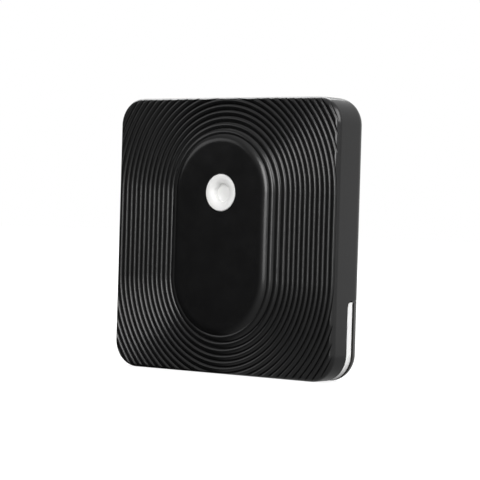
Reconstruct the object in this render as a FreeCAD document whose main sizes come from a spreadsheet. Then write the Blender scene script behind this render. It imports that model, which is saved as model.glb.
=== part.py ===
import FreeCAD, Part
import math
import os

import Sketcher
from FreeCAD import Vector

# A slim room sensor for temperature and humidity: a ribbed black case round a coin cell.
# Millimetres. X runs to the right as seen from the front, Y from front to rear, Z up.
# The origin is under the middle of the case, on the surface that it stands on.

doc = FreeCAD.newDocument("room_sensor")


# The driving sizes, one cell each
SIZES = [
    ("case_width", 35.0, "case, side to side"),
    ("case_height", 35.0, "case, bottom to top"),
    ("corner_radius", 3.45, "case corners, seen from the front"),
    ("front_rounding", 0.8, "front edge of the case"),
    ("rear_rounding", 1.5, "rear edge of the case"),
    ("side_wall", 1.2, "case walls beside, above and below"),
    ("front_wall", 0.75, "case front, measured at a groove beside the walls"),
    ("boss_rise", 0.95, "oval boss, in front of the grooves beside the walls"),
    ("boss_half_span", 5.35, "middle of the oval to the centre of either end"),
    ("boss_lift", 0.1, "middle of the oval above the middle of the case"),
    ("boss_edge_width", 1.0, "rounded edge of the boss"),
    ("boss_edge_drop", 0.4, "fall of that rounded edge to the first groove"),
    ("boss_wall", 0.8, "front wall of the boss"),
    ("boss_side_wall", 1.5, "side wall of the boss, inside the first groove"),
    ("first_groove", 7.4, "radius of the first groove round an end of the oval"),
    ("inner_pitch", 0.8, "pitch of the three ribs next to the boss"),
    ("rib_pitch", 0.75, "pitch of the other ribs"),
    ("rib_rise", 0.3, "crest of a rib over its grooves"),
    ("rib_crest", 0.3, "flat crest of a rib, between its two flanks"),
    ("rib_dip", 0.17, "how far the ribbed front sinks from the side walls to the foot of the boss"),
    ("notch_depth", 2.75, "groove level to the front edge of the side notches"),
    ("notch_height", 10.05, "top of the side notches above the base"),
    ("notch_corner", 0.85, "rounded front corner of the notch"),
    ("band_depth", 1.0, "width of the white band in the notch"),
    ("air_gap", 0.4, "gap between the white band and the rear cover"),
    ("band_recess", 0.02, "band under the case's surface"),
    ("fit_gap", 0.05, "clearance round a piece that is clipped in place"),
    ("cover_gap", 0.15, "clearance round the rear cover"),
    ("lip_gap", 0.3, "gap over the ends of the cover's lip"),
    ("cover_wall", 0.7, "thickness of the rear cover"),
    ("frame_gap", 0.1, "clearance round the inner frame"),
    ("board_gap", 0.2, "clearance round the circuit board"),
    ("board_thickness", 0.6, "circuit board"),
    ("pin_radius", 0.9, "locating pins of the case"),
    ("pin_length", 1.7, "locating pins, from the front wall"),
    ("pin_inset", 2.2, "locating pins, from the walls beside them"),
    ("pin_up", 6.0, "locating pins, above and below the middle"),
    ("pin_clearance", 0.1, "holes for the locating pins, beyond the pin"),
    ("post_radius", 0.8, "cover posts"),
    ("post_length", 2.9, "cover posts, from the inside of the cover"),
    ("post_across", 6.6, "cover posts, from the middle to each side"),
    ("post_inset", 2.7, "cover posts, from the walls above and below them"),
    ("window_side", 4.2, "corner windows of the frame"),
    ("window_inset", 1.7, "corner windows, from the walls beside them"),
    ("window_corner", 0.4, "round corners of those windows and of the room for the clip"),
    ("cell_radius", 10.0, "coin cell, 20 mm across"),
    ("cell_depth", 3.2, "coin cell, front to rear"),
    ("cell_clearance", 0.2, "clearance round the cell in the frame"),
    ("cell_play", 0.1, "cell to rear cover"),
    ("contact_room", 0.25, "circuit board to cell"),
    ("can_wall", 0.4, "wall of the steel can"),
    ("can_floor", 0.3, "rear face of the can"),
    ("seal_width", 0.7, "sealing ring, between the can and the negative cap"),
    ("cap_proud", 0.15, "cap in front of the rim of the can"),
    ("button_up", 5.35, "button above the middle of the oval"),
    ("button_radius", 2.35, "button cap"),
    ("button_clearance", 0.08, "round the button in its hole"),
    ("button_rim", 0.12, "rounded outer rim of the button"),
    ("button_inset", 0.05, "rim behind the front of the boss"),
    ("dish_depth", 1.1, "dish of the button, front of the boss to its floor"),
    ("dish_floor_radius", 1.25, "floor of the dish"),
    ("dish_lip", 0.8, "bell-shaped mouth of the dish, down to its steep wall"),
    ("button_floor", 0.25, "thickness of the button under its dish"),
    ("flange_radius", 2.95, "flange that keeps the button in"),
    ("flange_depth", 0.22, "thickness of the flange"),
    ("button_travel", 0.2, "how far the button goes in"),
    ("dome_radius", 2.0, "snap dome"),
    ("dome_height", 0.18, "snap dome over the board"),
    ("dome_sheet", 0.08, "steel of the snap dome"),
    ("leaf_sheet", 0.12, "spring steel of the negative contact"),
    ("leaf_reach", 5.0, "negative contact, middle to either foot"),
    ("leaf_foot", 1.5, "foot of the negative contact"),
    ("leaf_width", 3.0, "width of the negative contact"),
    ("clip_sheet", 0.2, "spring steel of the positive clip"),
    ("clip_width", 4.0, "width of the positive clip"),
    ("clip_foot", 2.3, "foot of the positive clip"),
    ("clip_length", 2.1, "upright of the positive clip"),
    ("clip_room", 0.3, "clearance round the positive clip in the frame"),
    ("can_edge", 0.3, "bevelled edges of the can"),
    ("contact_gap", 0.02, "negative contact to the cell"),
    ("capacitor_pitch", 1.6, "capacitors, middle to middle"),
    ("resistor_pitch", 1.6, "resistors, middle to middle"),
    ("inductor_pitch", 2.4, "inductors, middle to middle"),
]

# Components: place across and up from the middle of the oval or of their window, then
# width, height and thickness
COMPONENTS = [
    ("status_led", 0.0, 9.2, 1.6, 0.8, 0.5),
    ("radio_chip", 0.0, -1.6, 5.0, 5.0, 0.8),
    ("main_crystal", 0.0, -5.9, 2.0, 1.6, 0.5),
    ("clock_crystal", -4.2, -1.6, 1.0, 1.6, 0.5),
    ("climate_sensor", 0.0, 0.0, 2.0, 2.0, 0.8),
    ("chip_antenna", 0.0, 0.0, 3.2, 1.6, 1.1),
    ("capacitor", 0.0, -8.1, 1.0, 0.5, 0.5),
    ("resistor", 0.0, -9.4, 1.0, 0.5, 0.35),
    ("inductor", 0.0, 1.6, 1.6, 0.8, 0.8),
]
for part_name, *numbers in COMPONENTS:
    for measure, value in zip(("across", "up", "width", "height", "thickness"), numbers):
        SIZES.append((part_name + "_" + measure, value, part_name.replace("_", " ") + " " + measure))

sheet = doc.addObject("Spreadsheet::Sheet", "Sizes")
for row, (alias, value, meaning) in enumerate(SIZES, start=1):
    sheet.set("A%d" % row, meaning)
    sheet.set("B%d" % row, str(value))
    sheet.setAlias("B%d" % row, alias)
doc.recompute()


class Length:
    """A length worked out from the sheet: its formula for an expression, and its value in mm."""

    def __init__(self, formula, value):
        self.formula = formula
        self.value = value

    def join(self, sign, other, result):
        other_formula = other.formula if isinstance(other, Length) else str(other)
        return Length("(%s %s %s)" % (self.formula, sign, other_formula), result)

    def __add__(self, other):
        return self.join("+", other, self.value + number(other))

    def __sub__(self, other):
        return self.join("-", other, self.value - number(other))

    def __mul__(self, other):
        return self.join("*", other, self.value * number(other))

    def __truediv__(self, other):
        return self.join("/", other, self.value / number(other))

    def __neg__(self):
        return Length("(0 - %s)" % self.formula, -self.value)


def number(length):
    return length.value if isinstance(length, Length) else length


def size(alias):
    return Length("Sizes." + alias, float(sheet.get(alias)))


def bind(target, path, length):
    """Set a property from the sheet, so that it follows its cells."""
    target.setExpression(path, length.formula)


# Places that several pieces share. The depth is what the stack from boss to cover adds up to.
stack_to_board = size("boss_rise") + size("front_wall") + size("fit_gap")
stack_to_cell = stack_to_board + size("board_thickness") + size("contact_room")
case_depth = stack_to_cell + size("cell_depth") + size("cell_play") + size("cover_wall")
zero = case_depth * 0
front_face = -case_depth / 2
rear_face = case_depth / 2
groove_level = front_face + size("boss_rise")
crest_level = groove_level - size("rib_rise")
inner_front = groove_level + size("front_wall")
half_width = size("case_width") / 2
middle_height = size("case_height") / 2
boss_height = middle_height + size("boss_lift")
button_height = boss_height + size("button_up")
cavity_half = half_width - size("side_wall")
cavity_low = size("side_wall")
cavity_high = size("case_height") - size("side_wall")
cavity_corner = size("corner_radius") - size("side_wall")
board_front = front_face + stack_to_board
board_rear = board_front + size("board_thickness")
frame_front = board_rear + size("fit_gap")
cell_front = board_rear + size("contact_room")
cell_rear = cell_front + size("cell_depth")
cover_inside = cell_rear + size("cell_play")
notch_front = groove_level + size("notch_depth")
band_rear = notch_front + size("band_depth")
lip_front = band_rear + size("air_gap")
clip_low = middle_height + size("cell_radius") + size("fit_gap")
pin_across = cavity_half - size("pin_inset")
post_up = middle_height - size("side_wall") - size("post_inset")
window_across = cavity_half - size("window_inset") - size("window_side") / 2
window_up = middle_height - size("side_wall") - size("window_inset") - size("window_side") / 2

# How near to a plane an edge has to lie to be in it
NEAR = 1e-4


# Drawing helpers
def new_body(label):
    body = doc.addObject("PartDesign::Body", label)
    body.Label = label
    return body


def sketch_on(body, role, place):
    """A sketch on an origin plane of its body, moved along the plane's normal to a place."""
    plane = next(item for item in body.Origin.OriginFeatures if item.Role == role)
    sketch = body.newObject("Sketcher::SketchObject", body.Name + "_sketch")
    sketch.AttachmentSupport = (plane, [""])
    sketch.MapMode = "FlatFace"
    offset = -place if role == "XZ_Plane" else place
    bind(sketch, ".AttachmentOffset.Base.z", offset)
    return sketch


def hold(sketch, kind, arguments, length):
    """Add a dimension to a sketch and tie it to the sheet."""
    index = sketch.addConstraint(Sketcher.Constraint(kind, *arguments, length.value))
    bind(sketch, "Constraints[%d]" % index, length)


def draw_circle(sketch, across, up, radius):
    circle = sketch.addGeometry(Part.Circle(Vector(across.value, up.value, 0), Vector(0, 0, 1), radius.value))
    hold(sketch, "DistanceX", (-1, 1, circle, 3), across)
    hold(sketch, "DistanceY", (-1, 1, circle, 3), up)
    hold(sketch, "Radius", (circle,), radius)


def draw_outline(sketch, corners):
    """Draw a closed outline of level and upright lines. A corner is (across, up, radius or None)."""
    count = len(corners)
    points = [Vector(across.value, up.value, 0) for across, up, radius in corners]
    arcs = {}
    arrivals = []
    departures = []
    for index, (across, up, radius) in enumerate(corners):
        back = points[index - 1] - points[index]
        ahead = points[(index + 1) % count] - points[index]
        if radius is None:
            arrivals.append(points[index])
            departures.append(points[index])
            continue
        arrival = points[index] + back * (radius.value / back.Length)
        departure = points[index] + ahead * (radius.value / ahead.Length)
        centre = arrival + departure - points[index]
        circle = Part.Circle(centre, Vector(0, 0, 1), radius.value)
        turns_left = back.cross(ahead).z < 0
        start, end = (arrival, departure) if turns_left else (departure, arrival)
        angles = [math.atan2(end_point.y - centre.y, end_point.x - centre.x) for end_point in (start, end)]
        arc = sketch.addGeometry(Part.ArcOfCircle(circle, *angles))
        arcs[index] = (arc, 1, 2) if turns_left else (arc, 2, 1)
        arrivals.append(arrival)
        departures.append(departure)
        side = 1 if centre.x > points[index].x else -1
        level = 1 if centre.y > points[index].y else -1
        hold(sketch, "DistanceX", (-1, 1, arc, 3), across + radius * side)
        hold(sketch, "DistanceY", (-1, 1, arc, 3), up + radius * level)
        hold(sketch, "Radius", (arc,), radius)
    lines = []
    for index in range(count):
        line = Part.LineSegment(departures[index], arrivals[(index + 1) % count])
        lines.append(sketch.addGeometry(line))
    for index, (across, up, radius) in enumerate(corners):
        before = lines[index - 1]
        after = lines[index]
        if radius is None:
            sketch.addConstraint(Sketcher.Constraint("Coincident", before, 2, after, 1))
            hold(sketch, "DistanceX", (-1, 1, after, 1), across)
            hold(sketch, "DistanceY", (-1, 1, after, 1), up)
        else:
            arc, arrival_end, departure_end = arcs[index]
            sketch.addConstraint(Sketcher.Constraint("Tangent", before, 2, arc, arrival_end))
            sketch.addConstraint(Sketcher.Constraint("Tangent", arc, departure_end, after, 1))


def draw_rectangle(sketch, left, right, low, high, radius=None):
    draw_outline(sketch, [(left, low, radius), (right, low, radius),
                          (right, high, radius), (left, high, radius)])


def draw_rounded(sketch, half, low, high, radius):
    """Draw a rectangle with round corners, as wide to the left as to the right."""
    draw_rectangle(sketch, -half, half, low, high, radius)


def draw_cup(sketch, half, low, high, radius):
    """Draw a rectangle whose lower corners are round."""
    draw_outline(sketch, [(-half, low, radius), (half, low, radius), (half, high, None), (-half, high, None)])


def draw_trim(sketch, half, low, high, radius):
    """Draw what lies outside a rounded outline, above its lower part."""
    far = half * 2
    above = high + half
    draw_outline(sketch, [(far, low, None), (far, above, None), (-far, above, None), (-far, low, None),
                          (-half, low, None), (-half, high, radius), (half, high, radius), (half, low, None)])


def draw_section(sketch, corners):
    """Draw a closed section from corners (across, along, radius or None), with round corners as arcs."""
    count = len(corners)
    points = [Vector(across.value, along.value, 0) for across, along, radius in corners]
    arrivals = []
    departures = []
    for index, (across, along, radius) in enumerate(corners):
        back = (points[index - 1] - points[index]).normalize()
        ahead = (points[(index + 1) % count] - points[index]).normalize()
        if radius is None:
            arrivals.append(points[index])
            departures.append(points[index])
            continue
        half_angle = back.getAngle(ahead) / 2
        reach = radius.value / math.tan(half_angle)
        bisector = (back + ahead).normalize()
        nearest = radius.value / math.sin(half_angle) - radius.value
        arrivals.append(points[index] + back * reach)
        departures.append(points[index] + ahead * reach)
        middle = points[index] + bisector * nearest
        sketch.addGeometry(Part.Arc(arrivals[-1], middle, departures[-1]))
    for index in range(count):
        sketch.addGeometry(Part.LineSegment(departures[index], arrivals[(index + 1) % count]))


def draw_oval(sketch, middle, half_span, radius):
    """Draw an upright oval: two half circles joined by straight sides."""
    ends = []
    for side, start in ((1, 0), (-1, 180)):
        centre = Vector(0, middle.value + side * half_span.value, 0)
        circle = Part.Circle(centre, Vector(0, 0, 1), radius.value)
        arc = Part.ArcOfCircle(circle, math.radians(start), math.radians(start + 180))
        ends.append(sketch.addGeometry(arc))
    for first, second in ((0, 1), (1, 0)):
        line = Part.LineSegment(sketch.getPoint(ends[first], 2), sketch.getPoint(ends[second], 1))
        side_line = sketch.addGeometry(line)
        sketch.addConstraint(Sketcher.Constraint("Tangent", ends[first], 2, side_line, 1))
        sketch.addConstraint(Sketcher.Constraint("Tangent", side_line, 2, ends[second], 1))
    hold(sketch, "DistanceX", (-1, 1, ends[0], 3), zero)
    hold(sketch, "DistanceX", (-1, 1, ends[1], 3), zero)
    hold(sketch, "DistanceY", (-1, 1, ends[0], 3), middle + half_span)
    hold(sketch, "DistanceY", (-1, 1, ends[1], 3), middle - half_span)
    hold(sketch, "Radius", (ends[0],), radius)


# Feature helpers: a sketch on the XZ plane faces forwards, so a feature that goes to the rear is reversed
def pad(body, sketch, length, to_rear=True):
    feature = body.newObject("PartDesign::Pad", body.Name + "_pad")
    feature.Profile = sketch
    bind(feature, "Length", length)
    feature.Reversed = to_rear


def pocket(body, sketch, length, to_rear=True):
    """Cut a sketch into the body, and make sure that it takes material away."""
    doc.recompute()
    before = body.Shape.Volume
    feature = body.newObject("PartDesign::Pocket", body.Name + "_pocket")
    feature.Profile = sketch
    bind(feature, "Length", length)
    feature.Reversed = not to_rear
    doc.recompute()
    if body.Shape.Volume > before - 1e-6:
        raise RuntimeError("a pocket of %s cuts nothing" % body.Label)
    return feature


def turn(body, section):
    """Turn a section once round the upright axis of its sketch, which runs from front to rear."""
    feature = body.newObject("PartDesign::Revolution", body.Name + "_turned")
    feature.Profile = section
    feature.ReferenceAxis = (section, ["V_Axis"])
    feature.Angle = 360


def round_edges(body, names, radius):
    base = body.Tip
    feature = body.newObject("PartDesign::Fillet", body.Name + "_fillet")
    feature.Base = (base, names)
    bind(feature, "Radius", radius)
    doc.recompute()


def edges_at(shape, depth, height=None):
    """Names of the edges that lie at one depth and, where a height is given, at that height."""
    names = []
    for index, edge in enumerate(shape.Edges, start=1):
        box = edge.BoundBox
        off = max(abs(box.YMin - depth.value), abs(box.YMax - depth.value))
        if height is not None:
            off = max(off, abs(box.ZMin - height.value), abs(box.ZMax - height.value))
        if off < NEAR:
            names.append("Edge%d" % index)
    return names


# Front shell: the black moulded case with its oval boss and the ribs that run round it
def rib_radii(reach):
    """Radii of the grooves, out to the first one beyond a reach."""
    radii = [size("first_groove").value]
    while radii[-1] < reach:
        pitch = size("inner_pitch") if len(radii) <= 3 else size("rib_pitch")
        radii.append(radii[-1] + pitch.value)
    return radii


def groove_depth(radius, flare_start, flare_end):
    """Place of a groove's floor: it sinks from the walls to the foot of the boss, then climbs to its edge."""
    dip = size("rib_dip").value
    outward = (radius - flare_end) / (half_width.value - flare_end)
    ground = groove_level.value + dip * (1 - min(1.0, max(0.0, outward)))
    climb = size("boss_rise").value - size("boss_edge_drop").value + dip
    share = max(0.0, (flare_end - radius) / (flare_end - flare_start))
    return ground - climb * share ** 3


def draw_front_cut(sketch, reach):
    """Draw half of what is cut away in front of the boss and the ribs, out to a reach."""
    radii = rib_radii(reach)
    floors = [Vector(radius, groove_depth(radius, radii[0], radii[5]), 0) for radius in radii]
    clear = front_face.value - size("boss_rise").value
    width = size("boss_edge_width").value
    drop = size("boss_edge_drop").value
    edge_radius = (width ** 2 + drop ** 2) / (2 * drop)
    turn = math.asin(width / edge_radius) / 2
    edge_start = Vector(radii[0] - width, front_face.value, 0)
    edge_middle = edge_start + Vector(edge_radius * math.sin(turn), edge_radius * (1 - math.cos(turn)), 0)
    sketch.addGeometry(Part.LineSegment(Vector(0, clear, 0), Vector(0, front_face.value, 0)))
    sketch.addGeometry(Part.LineSegment(Vector(0, front_face.value, 0), edge_start))
    sketch.addGeometry(Part.Arc(edge_start, edge_middle, floors[0]))
    for inner, outer in zip(floors, floors[1:]):
        along = outer - inner
        outward = Vector(along.y, -along.x, 0)
        outward.normalize()
        middle = (inner + outer) / 2 + outward * size("rib_rise").value
        along.normalize()
        half_crest = along * (size("rib_crest").value / 2)
        corners = [inner, middle - half_crest, middle + half_crest, outer]
        for start, end in zip(corners, corners[1:]):
            sketch.addGeometry(Part.LineSegment(start, end))
    last = floors[-1]
    sketch.addGeometry(Part.LineSegment(last, Vector(last.x, clear, 0)))
    sketch.addGeometry(Part.LineSegment(Vector(last.x, clear, 0), Vector(0, clear, 0)))


def make_front_shell():
    body = new_body("front_shell")

    outline = sketch_on(body, "XZ_Plane", crest_level - size("fit_gap"))
    draw_rounded(outline, half_width, zero, size("case_height"), size("corner_radius"))
    pad(body, outline, rear_face - crest_level + size("fit_gap"))
    doc.recompute()
    round_edges(body, edges_at(body.Shape, crest_level - size("fit_gap")), size("front_rounding"))
    round_edges(body, edges_at(body.Shape, rear_face), size("rear_rounding"))

    boss = sketch_on(body, "XZ_Plane", front_face - size("boss_rise") / 2)
    flare_radius = size("first_groove") + size("inner_pitch") * 3
    draw_oval(boss, boss_height, size("boss_half_span"), flare_radius)
    pad(body, boss, case_depth / 2)
    doc.recompute()

    above = size("case_height").value - boss_height.value
    end_room = max(above, boss_height.value) - size("boss_half_span").value
    corner_reach = math.hypot(half_width.value, end_room)
    for side, turned in ((1, True), (-1, False)):
        before = body.Shape.Volume
        end_cut = sketch_on(body, "XY_Plane", boss_height + size("boss_half_span") * side)
        draw_front_cut(end_cut, corner_reach)
        groove = body.newObject("PartDesign::Groove", "ribs_round_end")
        groove.Profile = end_cut
        groove.ReferenceAxis = (end_cut, ["V_Axis"])
        groove.Angle = 180
        groove.Reversed = turned
        doc.recompute()
        if body.Shape.Volume > before - 1e-6:
            raise RuntimeError("the ribs cut nothing")
    side_cut = sketch_on(body, "XY_Plane", boss_height + size("boss_half_span"))
    draw_front_cut(side_cut, half_width.value)
    straight = pocket(body, side_cut, size("boss_half_span") * 2)
    mirror = body.newObject("PartDesign::Mirrored", "ribs_left")
    mirror.Originals = [straight]
    mirror.MirrorPlane = (side_cut, ["V_Axis"])
    body.Tip = mirror
    doc.recompute()

    cavity = sketch_on(body, "XZ_Plane", inner_front)
    draw_rounded(cavity, cavity_half, cavity_low, cavity_high, cavity_corner)
    pocket(body, cavity, case_depth)
    boss_room = sketch_on(body, "XZ_Plane", front_face + size("boss_wall"))
    draw_oval(boss_room, boss_height, size("boss_half_span"), size("first_groove") - size("boss_side_wall"))
    pocket(body, boss_room, case_depth / 2)
    button_hole = sketch_on(body, "XZ_Plane", front_face - size("boss_rise"))
    draw_circle(button_hole, zero, button_height, size("button_radius") + size("button_clearance"))
    pocket(body, button_hole, case_depth / 2)

    # The notch leaves the rear of both sides and of the bottom open for the white band
    notch = sketch_on(body, "YZ_Plane", -size("case_width"))
    draw_rectangle(notch, notch_front, case_depth, -case_depth, size("notch_height"))
    pocket(body, notch, size("case_width") * 2, to_rear=False)
    round_edges(body, edges_at(body.Shape, notch_front, size("notch_height")), size("notch_corner"))

    # Locating pins, moulded on the inside of the front wall
    pins = sketch_on(body, "XZ_Plane", inner_front)
    for side in (1, -1):
        for level in (1, -1):
            draw_circle(pins, pin_across * side, middle_height + size("pin_up") * level, size("pin_radius"))
    pad(body, pins, size("pin_length"))


# Inner frame: the white moulding that clamps the board, holds the cell and shows in the notch
def make_inner_frame():
    body = new_body("inner_frame")
    gap = size("frame_gap")
    plate = sketch_on(body, "XZ_Plane", frame_front)
    draw_rounded(plate, cavity_half - gap, cavity_low + gap, cavity_high - gap, cavity_corner - gap)
    pad(body, plate, band_rear - frame_front)

    # The band fills the notch and follows the case round its lower corners
    recess = size("band_recess")
    band_front = notch_front + size("fit_gap")
    band_top = size("notch_height") - size("fit_gap")
    band = sketch_on(body, "XZ_Plane", band_front)
    draw_cup(band, half_width - recess, recess, band_top, size("corner_radius") - recess)
    pad(body, band, band_rear - band_front)
    doc.recompute()
    round_edges(body, edges_at(body.Shape, band_front, band_top), size("notch_corner") - size("fit_gap"))

    well = sketch_on(body, "XZ_Plane", frame_front - gap)
    draw_circle(well, zero, middle_height, size("cell_radius") + size("cell_clearance"))
    pocket(body, well, case_depth)
    clip_room = sketch_on(body, "XZ_Plane", frame_front - gap)
    clip_half = size("clip_width") / 2 + size("clip_room")
    clip_top = clip_low + size("clip_foot") + size("clip_room")
    draw_rectangle(clip_room, -clip_half, clip_half, middle_height, clip_top, size("window_corner"))
    pocket(body, clip_room, case_depth)
    holes = sketch_on(body, "XZ_Plane", frame_front - gap)
    for side in (1, -1):
        for level in (1, -1):
            pin_place = (pin_across * side, middle_height + size("pin_up") * level)
            draw_circle(holes, *pin_place, size("pin_radius") + size("pin_clearance"))
            post_place = (size("post_across") * side, middle_height + post_up * level)
            draw_circle(holes, *post_place, size("post_radius") + size("fit_gap"))
    pocket(body, holes, case_depth)
    windows = sketch_on(body, "XZ_Plane", frame_front - gap)
    half = size("window_side") / 2
    for side in (1, -1):
        for level in (1, -1):
            across = window_across * side
            up = middle_height + window_up * level
            draw_rectangle(windows, across - half, across + half, up - half, up + half, size("window_corner"))
    pocket(body, windows, case_depth)


# Circuit board: it drops over the case's pins and lies against the front wall
def make_circuit_board():
    body = new_body("circuit_board")
    gap = size("board_gap")
    outline = sketch_on(body, "XZ_Plane", board_front)
    draw_rounded(outline, cavity_half - gap, cavity_low + gap, cavity_high - gap, cavity_corner - gap)
    pad(body, outline, size("board_thickness"))
    holes = sketch_on(body, "XZ_Plane", board_front - gap)
    for side in (1, -1):
        for level in (1, -1):
            pin_place = (pin_across * side, middle_height + size("pin_up") * level)
            draw_circle(holes, *pin_place, size("pin_radius") + size("pin_clearance"))
    pocket(body, holes, case_depth)


# Rear cover: it closes the battery side, and its lip runs round the lower corners under the air gap
def make_rear_cover():
    body = new_body("rear_cover")
    gap = size("cover_gap")
    lip_top = size("notch_height") - size("lip_gap")
    outer = sketch_on(body, "XZ_Plane", zero)
    draw_rounded(outer, half_width, zero, size("case_height"), size("corner_radius"))
    pad(body, outer, rear_face)
    doc.recompute()
    round_edges(body, edges_at(body.Shape, rear_face), size("rear_rounding"))
    front_part = sketch_on(body, "XZ_Plane", -gap)
    draw_rectangle(front_part, -size("case_width"), size("case_width"), -gap, size("case_height") + gap)
    pocket(body, front_part, lip_front + gap)

    # Above the lip the cover is cut back, to drop between the case's walls
    trim = sketch_on(body, "XZ_Plane", lip_front - gap)
    draw_trim(trim, cavity_half - gap, lip_top, cavity_high - gap, cavity_corner - gap)
    pocket(body, trim, case_depth)

    hollow = sketch_on(body, "XZ_Plane", lip_front - gap)
    draw_rounded(hollow, cavity_half - gap, cavity_low + gap, size("case_height") * 2, cavity_corner - gap)
    pocket(body, hollow, cover_inside - lip_front + gap)

    posts = sketch_on(body, "XZ_Plane", cover_inside)
    for side in (1, -1):
        for level in (1, -1):
            post_place = (size("post_across") * side, middle_height + post_up * level)
            draw_circle(posts, *post_place, size("post_radius"))
    pad(body, posts, size("post_length"), to_rear=False)


# Button: a white cap with a flange behind the boss wall. Its dish has a mouth rounded like a bell,
# which ends in a steep wall round a flat floor.
def make_button():
    body = new_body("button_cap")
    section = sketch_on(body, "XY_Plane", button_height)
    rim_front = front_face + size("button_inset")
    floor_front = front_face + size("dish_depth")
    flange_front = front_face + size("boss_wall") + size("fit_gap")
    outer = size("button_radius")
    draw_section(section, [
        (zero, floor_front, None),
        (size("dish_floor_radius"), floor_front, None),
        (size("dish_floor_radius"), rim_front, size("dish_lip")),
        (outer, rim_front, size("button_rim")),
        (outer, flange_front, None),
        (size("flange_radius"), flange_front, None),
        (size("flange_radius"), flange_front + size("flange_depth"), None),
        (size("dish_floor_radius") + size("flange_depth"), flange_front + size("flange_depth"), None),
        (size("dish_floor_radius"), floor_front + size("button_floor"), None),
        (zero, floor_front + size("button_floor"), None)])
    turn(body, section)


# Snap dome: a domed spring disc on the board, right behind the button
def dome_shoulder(radius, rise, crown):
    """A point half way down the arc from the crown of a dome to its rim."""
    sphere = (radius ** 2 + rise ** 2) / (2 * rise)
    turned = math.asin(radius / sphere) / 2
    return crown + Vector(sphere * math.sin(turned), sphere * (1 - math.cos(turned)), 0)


def make_switch_dome():
    body = new_body("switch_dome")
    section = sketch_on(body, "XY_Plane", button_height)
    radius = size("dome_radius").value
    height = size("dome_height").value
    sheet_metal = size("dome_sheet").value
    seat = board_front.value
    crown = Vector(0, seat - height, 0)
    rim = Vector(radius, seat - sheet_metal, 0)
    sheet_step = Vector(0, sheet_metal, 0)
    shoulder = dome_shoulder(radius, height - sheet_metal, crown)
    section.addGeometry(Part.Arc(crown, shoulder, rim))
    section.addGeometry(Part.LineSegment(rim, rim + sheet_step))
    section.addGeometry(Part.Arc(rim + sheet_step, shoulder + sheet_step, crown + sheet_step))
    section.addGeometry(Part.LineSegment(crown + sheet_step, crown))
    turn(body, section)


# Coin cell: a steel can, a negative cap and the sealing ring between them
def make_coin_cell():
    can_inside = size("cell_radius") - size("can_wall")
    cap_radius = can_inside - size("seal_width")
    rim_front = cell_front + size("cap_proud")
    floor_front = cell_rear - size("can_floor")
    edge = size("can_edge")

    can = new_body("battery_can")
    section = sketch_on(can, "XY_Plane", middle_height)
    draw_section(section, [
        (zero, floor_front, None),
        (can_inside, floor_front, None),
        (can_inside, rim_front, None),
        (size("cell_radius") - edge, rim_front, None),
        (size("cell_radius"), rim_front + edge, None),
        (size("cell_radius"), cell_rear - edge, None),
        (size("cell_radius") - edge, cell_rear, None),
        (zero, cell_rear, None)])
    turn(can, section)

    ring = new_body("battery_gasket")
    section = sketch_on(ring, "XY_Plane", middle_height)
    draw_section(section, [
        (cap_radius, rim_front, None),
        (can_inside, rim_front, None),
        (can_inside, floor_front, None),
        (cap_radius, floor_front, None)])
    turn(ring, section)

    cap = new_body("battery_cap")
    section = sketch_on(cap, "XY_Plane", middle_height)
    draw_section(section, [
        (zero, cell_front, None),
        (cap_radius - edge / 2, cell_front, None),
        (cap_radius, cell_front + edge / 2, None),
        (cap_radius, floor_front, None),
        (zero, floor_front, None)])
    turn(cap, section)


# Battery contacts: a bowed leaf under the cap of the cell and a clip against its can
def make_negative_contact():
    body = new_body("battery_contact_negative")
    section = sketch_on(body, "YZ_Plane", -size("leaf_width") / 2)
    seat = board_rear.value
    metal = size("leaf_sheet").value
    crown = cell_front.value - size("contact_gap").value
    middle = middle_height.value
    reach = size("leaf_reach").value
    end = reach + size("leaf_foot").value
    near_side = [Vector(seat, middle - end, 0), Vector(seat, middle - reach, 0),
                 Vector(crown - metal, middle, 0),
                 Vector(seat, middle + reach, 0), Vector(seat, middle + end, 0)]
    far_side = [point + Vector(metal, 0, 0) for point in near_side]
    for side in (near_side, far_side):
        section.addGeometry(Part.LineSegment(side[0], side[1]))
        section.addGeometry(Part.Arc(side[1], side[2], side[3]))
        section.addGeometry(Part.LineSegment(side[3], side[4]))
    section.addGeometry(Part.LineSegment(near_side[0], far_side[0]))
    section.addGeometry(Part.LineSegment(near_side[4], far_side[4]))
    pad(body, section, size("leaf_width"), to_rear=False)


def make_positive_clip():
    body = new_body("battery_clip_positive")
    section = sketch_on(body, "YZ_Plane", -size("clip_width") / 2)
    metal = size("clip_sheet")
    tip = board_rear + size("clip_length")
    foot_end = clip_low + size("clip_foot")
    draw_outline(section, [
        (board_rear, clip_low, None),
        (tip, clip_low, None),
        (tip, clip_low + metal, None),
        (board_rear + metal, clip_low + metal, None),
        (board_rear + metal, foot_end, None),
        (board_rear, foot_end, None)])
    pad(body, section, size("clip_width"), to_rear=False)


# Components soldered to the board, each a small block on its front or rear face
def make_block(label, across, up, part_name, on_rear):
    block = doc.addObject("Part::Box", label)
    width = size(part_name + "_width")
    height = size(part_name + "_height")
    thickness = size(part_name + "_thickness")
    bind(block, "Length", width)
    bind(block, "Width", thickness)
    bind(block, "Height", height)
    bind(block, "Placement.Base.x", across - width / 2)
    bind(block, "Placement.Base.y", board_rear if on_rear else board_front - thickness)
    bind(block, "Placement.Base.z", up - height / 2)
    return block


def make_front_part(label):
    """A component on the front of the board, in the room behind the boss."""
    across = size(label + "_across")
    block = make_block(label, across, boss_height + size(label + "_up"), label, False)
    block.Label = label


def make_window_part(label, side, level):
    """A component on the rear of the board, in a corner window of the frame."""
    across = window_across * side + size(label + "_across")
    up = middle_height + window_up * level + size(label + "_up")
    block = make_block(label, across, up, label, True)
    block.Label = label


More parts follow.
